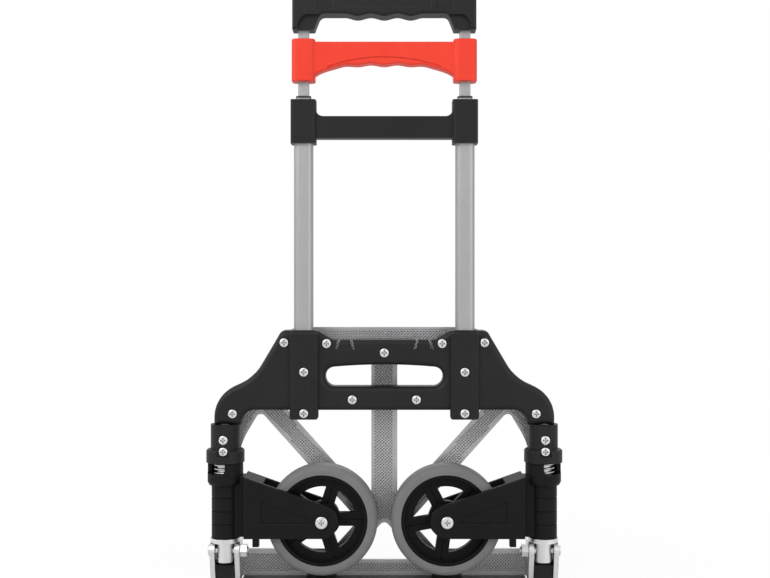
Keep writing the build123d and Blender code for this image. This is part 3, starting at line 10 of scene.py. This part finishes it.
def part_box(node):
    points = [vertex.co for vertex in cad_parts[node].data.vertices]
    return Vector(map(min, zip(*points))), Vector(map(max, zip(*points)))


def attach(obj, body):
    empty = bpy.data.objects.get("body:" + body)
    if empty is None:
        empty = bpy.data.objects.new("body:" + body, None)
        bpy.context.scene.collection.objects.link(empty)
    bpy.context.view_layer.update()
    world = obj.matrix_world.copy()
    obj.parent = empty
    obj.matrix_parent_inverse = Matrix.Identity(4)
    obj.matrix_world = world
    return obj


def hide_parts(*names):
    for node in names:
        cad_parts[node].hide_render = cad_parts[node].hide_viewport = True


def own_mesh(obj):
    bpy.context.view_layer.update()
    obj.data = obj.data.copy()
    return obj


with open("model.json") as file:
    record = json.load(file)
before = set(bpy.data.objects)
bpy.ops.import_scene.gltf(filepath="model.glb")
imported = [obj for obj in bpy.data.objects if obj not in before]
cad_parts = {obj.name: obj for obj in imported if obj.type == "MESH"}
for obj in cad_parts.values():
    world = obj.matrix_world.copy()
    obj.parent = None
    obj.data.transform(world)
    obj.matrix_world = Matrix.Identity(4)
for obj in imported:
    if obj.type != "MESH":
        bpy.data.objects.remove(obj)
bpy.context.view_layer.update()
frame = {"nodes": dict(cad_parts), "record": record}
nodes = frame["nodes"]

MM = 0.001

# Springs: thickness of the wire, number of curls, and how finely each is drawn
ARM_WIRE = 2.2 * MM
ARM_CURLS = 4
RETURN_WIRE = 0.7 * MM
RETURN_CURLS = 10
CURL_STEPS = 40
WIRE_SIDES = 12

# Embossed mesh of the toe plate
PLATE_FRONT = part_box("toe_plate")[0].y
MESH_DEPTH = 0.4 * MM
MESH_FLOOR = PLATE_FRONT + MESH_DEPTH
# Painted shade in the dimples: the metal is darkened from their floor up to this height
MESH_SHADE_RISE = 0.8 * MESH_DEPTH  # height over the floor from which the metal is not darkened
MESH_PITCH = 3.7 * MM
# Rings of a dimple from its ridge inwards: reach as a share of the pitch, height as one of the depth
MESH_RINGS = ((0.5, 0.80), (0.40, 0.86), (0.22, 0.10))
MESH_CORNERS = ((1, 0), (0, 1), (-1, 0), (0, -1))
PROBE_AHEAD = 5 * MM  # where a probe for the sunk field starts, before the plate
PROBE_REACH = 20 * MM
FIELD_SLACK = 0.1 * MM
WELD = 0.01 * MM

# Noise between these values shows as clouds, grain and drawn lines
CLOUD_BAND = (0.3, 0.7)
GRAIN_BAND = (0.25, 0.75)
LINE_BAND = (0.2, 0.8)
SCUFF_BAND = (0.62, 0.8)
# Agreement of the rounded normal with the true one, off an edge and on it
EDGE_BAND = (0.99, 0.80)
# Openness of a point, outside a recess and inside it, where painted shade darkens the recess
HOLLOW_SHADE_BAND = (0.85, 0.45)
# Scale of the noise along the grain of drawn metal, and across it
ALONG_GRAIN = 30.0
ACROSS_GRAIN = 2600.0
Z_AXIS = 2

# Sockets of a Mix node that mixes colours
MIX_FIRST = 6
MIX_SECOND = 7
MIX_RESULT = 2

# Studio: strength of the white surround as light and in reflections, where the camera sees 1
WORLD_LIGHT = 0.55
WORLD_MIRRORED = 0.75
LAMPS = (  # name, place, target, size and power
    ("key", (-1.1, -1.7, 1.9), (0, 0, 0.35), 1.4, 22.0),
    ("fill", (1.5, -1.4, 0.9), (0, 0, 0.30), 1.6, 12.0),
    ("back", (0.3, 1.6, 1.7), (0, 0, 0.40), 1.5, 14.0),
    ("edge", (-1.5, -0.45, 1.35), (0, 0, 0.25), 0.9, 8.0),
)
FLOOR_REACH = 6.0
FLOOR_COLOR = (0.86, 0.86, 0.86, 1.0)
# To the camera the floor turns to plain white between these distances, by these shares
FLOOR_FADE = (0.25, 0.75)
FLOOR_WHITE = (0.92, 1.0)

SENSOR_WIDTH = 36.0
LENS = 49.5
LENS_SHIFT = 0.0009
CAMERA_PLACE = (0.0, -1.2, 0.334)


# Node helpers
def add_node(tree, kind, **settings):
    made = tree.nodes.new(kind)
    for name, value in settings.items():
        setattr(made, name, value)
    return made


def add_math(tree, operation, first, second):
    made = add_node(tree, "ShaderNodeMath", operation=operation)
    for socket, value in zip(made.inputs, (first, second)):
        if isinstance(value, float):
            socket.default_value = value
        else:
            tree.links.new(value, socket)
    return made.outputs["Value"]


def add_range(tree, value, band, to_low, to_high, **settings):
    made = add_node(tree, "ShaderNodeMapRange", **settings)
    for name, number in zip(("From Min", "From Max", "To Min", "To Max"), (*band, to_low, to_high)):
        made.inputs[name].default_value = number
    tree.links.new(value, made.inputs["Value"])
    return made.outputs["Result"]


class Finish:
    """A principled material and the few nodes that the finishes here are made of."""

    def __init__(self, name, color, metallic=0.0, roughness=0.5, specular=0.5):
        self.material = bpy.data.materials.new(name)
        self.material.use_nodes = True
        self.tree = self.material.node_tree
        self.shader = self.tree.nodes["Principled BSDF"]
        self.shader.inputs["Base Color"].default_value = (*color, 1.0)
        self.shader.inputs["Metallic"].default_value = metallic
        self.shader.inputs["Roughness"].default_value = roughness
        self.shader.inputs["Specular IOR Level"].default_value = specular
        self.place = self.node("ShaderNodeTexCoord").outputs["Object"]

    def node(self, kind, **settings):
        return add_node(self.tree, kind, **settings)

    def link(self, output, target):
        self.tree.links.new(output, target)

    def stretched(self, scale):
        mapping = self.node("ShaderNodeMapping")
        mapping.inputs["Scale"].default_value = scale
        self.link(self.place, mapping.inputs["Vector"])
        return mapping.outputs["Vector"]

    def noise(self, scale, detail=3.0, rough=0.55, place=None):
        made = self.node("ShaderNodeTexNoise")
        made.inputs["Scale"].default_value = scale
        made.inputs["Detail"].default_value = detail
        made.inputs["Roughness"].default_value = rough
        self.link(place or self.place, made.inputs["Vector"])
        return made.outputs["Fac"]

    def share(self, value, band):
        """0 at the first value of the band, 1 at the second."""
        return add_range(self.tree, value, band, 0.0, 1.0)

    def scaled(self, value, factor):
        return add_math(self.tree, "MULTIPLY", value, factor)

    def blend(self, share, first, second):
        made = self.node("ShaderNodeMix", data_type="RGBA")
        self.link(share, made.inputs["Factor"])
        for socket, value in zip((made.inputs[MIX_FIRST], made.inputs[MIX_SECOND]), (first, second)):
            if isinstance(value, tuple):
                socket.default_value = (*value, 1.0)
            else:
                self.link(value, socket)
        return made.outputs[MIX_RESULT]

    def color(self, output):
        self.link(output, self.shader.inputs["Base Color"])

    def roughness(self, noise, band, low, high):
        result = add_range(self.tree, noise, band, low, high)
        self.link(result, self.shader.inputs["Roughness"])

    def soft_normal(self, radius):
        """Normals that round the edges."""
        bevel = self.node("ShaderNodeBevel", samples=6)
        bevel.inputs["Radius"].default_value = radius
        return bevel.outputs["Normal"]

    def edges(self, normal):
        """A mask that is 1 on the edges that such normals round, where a painted highlight is laid.
        """
        geometry = self.node("ShaderNodeNewGeometry")
        agree = self.node("ShaderNodeVectorMath", operation="DOT_PRODUCT")
        self.link(normal, agree.inputs[0])
        self.link(geometry.outputs["Normal"], agree.inputs[1])
        return self.share(agree.outputs["Value"], EDGE_BAND)

    def painted_hollow_shade(self, depth):
        """A mask of painted shade that is 1 in recesses about as deep as the given size."""
        shade = self.node("ShaderNodeAmbientOcclusion", samples=8)
        shade.inputs["Distance"].default_value = depth
        return self.share(shade.outputs["AO"], HOLLOW_SHADE_BAND)

    def bump(self, height, strength, distance, normal):
        made = self.node("ShaderNodeBump")
        made.inputs["Strength"].default_value = strength
        made.inputs["Distance"].default_value = distance
        self.link(height, made.inputs["Height"])
        self.link(normal, made.inputs["Normal"])
        self.link(made.outputs["Normal"], self.shader.inputs["Normal"])


def moulded(name, dark, light, edge, rough, grain=0.12, specular=0.5, shade_depth=None):
    """Moulded plastic: fine grain, faint clouding, scuffs, a painted highlight on the edges, and
    painted shade in recesses if a shade depth is given.
    """
    finish = Finish(name, dark, roughness=rough, specular=specular)
    normal = finish.soft_normal(0.7 * MM)
    clouds = finish.noise(28.0, 4.0)
    fine = finish.noise(1800.0, 2.0)
    scuffs = finish.noise(160.0, 6.0, 0.7, finish.stretched((1.0, 1.0, 0.35)))
    body = finish.blend(finish.share(clouds, CLOUD_BAND), dark, light)
    # Scuffs are real wear in the edge colour; the same colour also serves as the painted highlight
    # below
    body = finish.blend(finish.scaled(finish.share(scuffs, SCUFF_BAND), 0.25), body, edge)
    # Painted highlight: the rounded edges are lightened toward the edge colour
    body = finish.blend(finish.scaled(finish.edges(normal), 0.8), body, edge)
    # Painted shade: recesses about as deep as the shade depth are darkened toward black
    if shade_depth:
        body = finish.blend(finish.painted_hollow_shade(shade_depth), body, (0.0, 0.0, 0.0))
    finish.color(body)
    finish.roughness(fine, GRAIN_BAND, rough - 0.07, rough + 0.07)
    finish.bump(fine, grain, 0.15 * MM, normal)
    return finish.material


def drawn_metal(name, dark, light, rough, grain_axis, metallic):
    """Metal with fine grain along one axis."""
    finish = Finish(name, light, metallic=metallic, roughness=rough)
    scales = tuple(ALONG_GRAIN if axis == grain_axis else ACROSS_GRAIN for axis in range(3))
    lines = finish.noise(1.0, 3.0, 0.6, finish.stretched(scales))
    clouds = finish.noise(22.0, 3.0)
    mixed = add_math(finish.tree, "ADD", finish.scaled(lines, 0.7), finish.scaled(clouds, 0.3))
    finish.color(finish.blend(finish.share(mixed, CLOUD_BAND), dark, light))
    finish.roughness(lines, LINE_BAND, rough - 0.08, rough + 0.08)
    finish.bump(lines, 0.08, 0.05 * MM, finish.soft_normal(0.35 * MM))
    return finish.material


def bright_metal(name, dark, light, rough):
    """Zinc-plated or polished steel with faint mottling, and painted shade in its recesses."""
    finish = Finish(name, light, metallic=1.0, roughness=rough)
    mottle = finish.noise(420.0, 4.0, 0.6)
    body = finish.blend(finish.share(mottle, CLOUD_BAND), dark, light)
    # Painted shade: recesses are darkened toward dark grey
    finish.color(finish.blend(finish.painted_hollow_shade(2.0 * MM), body, (0.20, 0.20, 0.20)))
    finish.roughness(mottle, GRAIN_BAND, rough - 0.06, rough + 0.08)
    finish.bump(mottle, 0.05, 0.1 * MM, finish.soft_normal(0.25 * MM))
    return finish.material


def tyre_rubber():
    """Grey rubber: faint clouding, fine grain, and a painted highlight on the edges."""
    finish = Finish("tyre_rubber", (0.165, 0.165, 0.167), roughness=0.62, specular=0.35)
    normal = finish.soft_normal(0.6 * MM)
    clouds = finish.share(finish.noise(35.0, 5.0, 0.6), CLOUD_BAND)
    fine = finish.noise(1500.0, 2.0)
    body = finish.blend(clouds, (0.150, 0.150, 0.152), (0.182, 0.182, 0.184))
    # Painted highlight: the rounded edges are lightened toward pale grey
    finish.color(finish.blend(finish.scaled(finish.edges(normal), 0.5), body, (0.26, 0.26, 0.262)))
    finish.roughness(fine, GRAIN_BAND, 0.56, 0.70)
    finish.bump(fine, 0.10, 0.2 * MM, normal)
    return finish.material


def cast_plate(name, shade_band=None):
    """Satin cast aluminium, with painted shade between two values of Y if they are given."""
    finish = Finish(name, (0.36, 0.36, 0.37), metallic=0.85, roughness=0.46)
    clouds = finish.share(finish.noise(18.0, 4.0), CLOUD_BAND)
    fine = finish.noise(900.0, 4.0, 0.65)
    body = finish.blend(clouds, (0.43, 0.43, 0.44), (0.53, 0.53, 0.54))
    # Painted shade: between the two values of Y, at the floors of the dimples, the metal is darkened
    if shade_band:
        split = finish.node("ShaderNodeSeparateXYZ")
        finish.link(finish.place, split.inputs["Vector"])
        dimple_shade = finish.share(split.outputs["Y"], shade_band)
        body = finish.blend(finish.scaled(dimple_shade, 0.80), body, (0.08, 0.08, 0.083))
    finish.color(body)
    finish.roughness(fine, GRAIN_BAND, 0.38, 0.56)
    finish.bump(fine, 0.12, 0.12 * MM, finish.soft_normal(0.3 * MM))
    return finish.material


# In each moulded finish the edge colour is the colour of scuffs and of the painted edge highlight
finishes = {
    "black_plastic": moulded(
        "black_plastic",
        dark=(0.008, 0.008, 0.0084),
        light=(0.011, 0.011, 0.0115),
        edge=(0.055, 0.055, 0.057),
        rough=0.48,
        specular=0.25,
    ),
    "rim_plastic": moulded(
        "rim_plastic",
        dark=(0.003, 0.003, 0.003),
        light=(0.005, 0.005, 0.005),
        edge=(0.03, 0.03, 0.031),
        rough=0.42,
        specular=0.12,
    ),
    "red_plastic": moulded(
        "red_plastic",
        dark=(0.78, 0.040, 0.018),
        light=(0.82, 0.048, 0.023),
        edge=(0.92, 0.11, 0.06),
        rough=0.46,
        grain=0.06,
        specular=0.3,
    ),
    "tyre_rubber": tyre_rubber(),
    "bush_plastic": moulded(
        "bush_plastic",
        dark=(0.010, 0.010, 0.010),
        light=(0.015, 0.015, 0.015),
        edge=(0.05, 0.05, 0.05),
        rough=0.5,
    ),
    "tube_aluminium": drawn_metal(
        "tube_aluminium",
        dark=(0.36, 0.36, 0.37),
        light=(0.43, 0.43, 0.44),
        rough=0.50,
        grain_axis=Z_AXIS,
        metallic=0.75,
    ),
    "plate_aluminium": cast_plate("plate_aluminium"),
    "heel_paint": moulded(
        "heel_paint",
        dark=(0.02, 0.02, 0.021),
        light=(0.03, 0.03, 0.031),
        edge=(0.07, 0.07, 0.07),
        rough=0.38,
    ),
    "zinc_steel": bright_metal(
        "zinc_steel", dark=(0.70, 0.70, 0.71), light=(0.78, 0.78, 0.79), rough=0.32
    ),
    "spring_steel": bright_metal(
        "spring_steel", dark=(0.50, 0.50, 0.50), light=(0.68, 0.68, 0.68), rough=0.25
    ),
}
# Wheel arms: painted shade in their recesses, besides the painted edge highlight
arm_finish = moulded(
    "arm_plastic",
    dark=(0.006, 0.006, 0.006),
    light=(0.008, 0.008, 0.008),
    edge=(0.045, 0.045, 0.046),
    rough=0.50,
    specular=0.12,
    shade_depth=4.0 * MM,
)
# The embossed mesh gets painted shade at the floors of its dimples
mesh_finish = cast_plate("embossed_mesh", (MESH_FLOOR - MESH_SHADE_RISE, MESH_FLOOR))

for entry in frame["record"]["subparts"]:
    node = nodes[entry["node"]]
    node.data.materials.clear()
    arm = entry["node"].endswith("wheel_arm")
    node.data.materials.append(arm_finish if arm else finishes[entry["material_slot"]])


def add_piece(name, bm, body, finish):
    mesh = bpy.data.meshes.new(name)
    bm.to_mesh(mesh)
    bm.free()
    mesh.materials.append(finish)
    piece = bpy.data.objects.new(name, mesh)
    bpy.context.scene.collection.objects.link(piece)
    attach(piece, body)
    return piece


# Springs: round wire on a smooth helix, with the same room as the solid that each stands for
def helix(bm, centre, coil_radius, foot, height, wire_radius, curls):
    rings = []
    count = curls * CURL_STEPS
    for n in range(count + 1):
        angle = 2 * math.pi * n / CURL_STEPS
        out = Vector((math.cos(angle), math.sin(angle), 0.0))
        middle = centre + out * coil_radius + Vector((0, 0, foot + height * n / count))
        ring = []
        for k in range(WIRE_SIDES):
            turn = 2 * math.pi * k / WIRE_SIDES
            spoke = out * math.cos(turn) + Vector((0, 0, math.sin(turn)))
            ring.append(bm.verts.new(middle + wire_radius * spoke))
        rings.append(ring)
    for first, second in zip(rings, rings[1:]):
        for k in range(WIRE_SIDES):
            after = (k + 1) % WIRE_SIDES
            bm.faces.new((first[k], second[k], second[after], first[after]))
    bm.faces.new(rings[0])
    bm.faces.new(reversed(rings[-1]))


def spring_piece(name, node, places, wire, curls, body):
    low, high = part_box(node)
    width = high.x - low.x if len(places) == 1 else high.y - low.y
    coil_radius = (width - wire) / 2
    height = high.z - low.z - wire
    bm = bmesh.new()
    for x in places:
        helix(bm, Vector((x, 0, 0)), coil_radius, low.z + wire / 2, height, wire / 2, curls)
    bmesh.ops.recalc_face_normals(bm, faces=bm.faces)
    piece = add_piece(name, bm, body, finishes["spring_steel"])
    piece.data.shade_smooth()
    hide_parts(node)
    return piece


for side in ("left", "right"):
    low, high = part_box(side + "_arm_spring")
    middle_x = (low.x + high.x) / 2
    spring_piece(side + "_arm_coil", side + "_arm_spring", [middle_x], ARM_WIRE, ARM_CURLS, "frame")
rail_x = (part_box("right_inner_tube")[0].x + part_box("right_inner_tube")[1].x) / 2
coils = spring_piece(
    "return_coils", "return_springs", [-rail_x, rail_x], RETURN_WIRE, RETURN_CURLS, "inner_stage"
)
low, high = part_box("return_springs")
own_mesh(coils)


# Embossed mesh of the toe plate: dimples between crossing ridges, wherever its sunk field lies
def dimple(bm, x, z):
    rings = []
    for spread, rise in MESH_RINGS:
        reach = spread * MESH_PITCH
        y = MESH_FLOOR - rise * MESH_DEPTH
        rings.append([bm.verts.new((x + reach * i, y, z + reach * k)) for i, k in MESH_CORNERS])
    for outer, inner in zip(rings, rings[1:]):
        for k in range(len(outer)):
            after = (k + 1) % len(outer)
            bm.faces.new((outer[k], outer[after], inner[after], inner[k]))
    bm.faces.new(rings[-1])


def embossed_mesh():
    plate = nodes["toe_plate"].data
    tree = BVHTree.FromPolygons(
        [vertex.co for vertex in plate.vertices], [face.vertices for face in plate.polygons]
    )

    def in_field(x, z):
        start = Vector((x, PLATE_FRONT - PROBE_AHEAD, z))
        hit = tree.ray_cast(start, Vector((0, 1, 0)), PROBE_REACH)[0]
        return hit is not None and abs(hit.y - MESH_FLOOR) < FIELD_SLACK

    low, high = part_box("toe_plate")
    half = 0.5 * MESH_PITCH
    bm = bmesh.new()
    for row in range(int((high.z - low.z) / half) + 1):
        z = low.z + row * half
        for column in range(int((high.x - low.x) / MESH_PITCH) + 1):
            x = low.x + column * MESH_PITCH + row % 2 * half
            if all(in_field(x + half * i, z + half * k) for i, k in MESH_CORNERS):
                dimple(bm, x, z)
    bmesh.ops.remove_doubles(bm, verts=bm.verts, dist=WELD)
    for face in bm.faces:
        if face.normal.y > 0:
            face.normal_flip()
    add_piece("plate_mesh", bm, "toe_plate", mesh_finish)


embossed_mesh()


# Studio: a white floor and surround, a large soft lamp, a fill, one behind and one for the edges
def studio_world():
    world = bpy.data.worlds.new("studio")
    bpy.context.scene.world = world
    world.use_nodes = True
    tree = world.node_tree
    background = tree.nodes["Background"]
    background.inputs["Color"].default_value = (1.0, 1.0, 1.0, 1.0)
    rays = add_node(tree, "ShaderNodeLightPath").outputs
    seen = add_math(tree, "MAXIMUM", rays["Is Camera Ray"], rays["Is Transmission Ray"])
    mirrored = add_math(tree, "MULTIPLY", rays["Is Glossy Ray"], WORLD_MIRRORED)
    shown = add_math(tree, "MAXIMUM", seen, mirrored)
    strength = add_math(tree, "MAXIMUM", shown, WORLD_LIGHT)
    tree.links.new(strength, background.inputs["Strength"])


def studio_lamps():
    for name, place, target, size, power in LAMPS:
        lamp = bpy.data.lights.new(name, "AREA")
        lamp.size = size
        lamp.energy = power
        holder = bpy.data.objects.new(name, lamp)
        bpy.context.scene.collection.objects.link(holder)
        holder.location = place
        aim = Vector(target) - Vector(place)
        holder.rotation_euler = aim.to_track_quat("-Z", "Y").to_euler()


def floor_paper():
    """Matt paper that keeps the shadow, and turns to plain white away from the part."""
    paper = bpy.data.materials.new("studio_floor")
    paper.use_nodes = True
    tree = paper.node_tree
    tree.nodes.clear()
    out = add_node(tree, "ShaderNodeOutputMaterial")
    mixed = add_node(tree, "ShaderNodeMixShader")
    matt = add_node(tree, "ShaderNodeBsdfDiffuse")
    matt.inputs["Color"].default_value = FLOOR_COLOR
    glow = add_node(tree, "ShaderNodeEmission")
    rays = add_node(tree, "ShaderNodeLightPath").outputs
    length = add_node(tree, "ShaderNodeVectorMath", operation="LENGTH")
    tree.links.new(add_node(tree, "ShaderNodeTexCoord").outputs["Object"], length.inputs[0])
    distance = length.outputs["Value"]
    fade = add_range(tree, distance, FLOOR_FADE, *FLOOR_WHITE, interpolation_type="SMOOTHSTEP")
    share = add_math(tree, "MULTIPLY", fade, rays["Is Camera Ray"])
    tree.links.new(share, mixed.inputs["Fac"])
    tree.links.new(matt.outputs["BSDF"], mixed.inputs[1])
    tree.links.new(glow.outputs["Emission"], mixed.inputs[2])
    tree.links.new(mixed.outputs["Shader"], out.inputs["Surface"])
    return paper


def studio_floor():
    mesh = bpy.data.meshes.new("floor")
    corners = [(FLOOR_REACH * i, FLOOR_REACH * k, 0) for i, k in ((-1, -1), (1, -1), (1, 1), (-1, 1))]
    mesh.from_pydata(corners, [], [(0, 1, 2, 3)])
    mesh.materials.append(floor_paper())
    floor = bpy.data.objects.new("floor", mesh)
    bpy.context.scene.collection.objects.link(floor)


studio_world()
studio_lamps()
studio_floor()

camera_data = bpy.data.cameras.new("camera")
camera_data.sensor_width = SENSOR_WIDTH
camera_data.lens = LENS
camera_data.shift_x = LENS_SHIFT
camera = bpy.data.objects.new("camera", camera_data)
bpy.context.scene.collection.objects.link(camera)
camera.location = CAMERA_PLACE
camera.rotation_euler = (math.radians(90), 0, 0)
bpy.context.scene.camera = camera

bpy.context.scene.view_settings.view_transform = "Standard"
